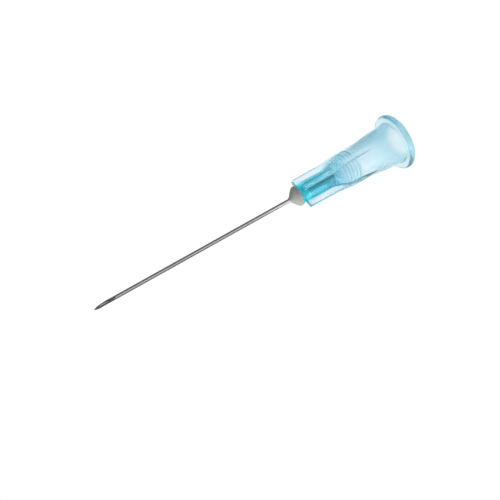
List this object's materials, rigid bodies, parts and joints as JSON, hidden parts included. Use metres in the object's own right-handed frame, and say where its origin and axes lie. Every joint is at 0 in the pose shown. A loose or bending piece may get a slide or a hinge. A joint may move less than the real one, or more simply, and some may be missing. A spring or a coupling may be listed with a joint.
{
  "type": "hypodermic needle",
  "caption": "Single-use injection needle: clear blue finned plastic hub with a tapered syringe socket, and a thin steel cannula with a ground point, set in adhesive.",
  "frame": {"origin": "middle of the open end face of the hub's flange, which the part stands on", "axes": "+Z along the cannula towards its point; the fins lie along +X, -X, +Y and -Y; the ground face of the point looks along -Y"},
  "size_m": [0.0078, 0.0078, 0.0493],
  "materials": {
    "hub_plastic": "clear moulded polypropylene, tinted blue",
    "cannula_steel": "bright drawn stainless steel",
    "adhesive": "cured resin, satin"
  },
  "bodies": {
    "root": {"hub": "hub_plastic", "cannula": "cannula_steel", "adhesive_bead": "adhesive"}
  },
  "joints": []
}
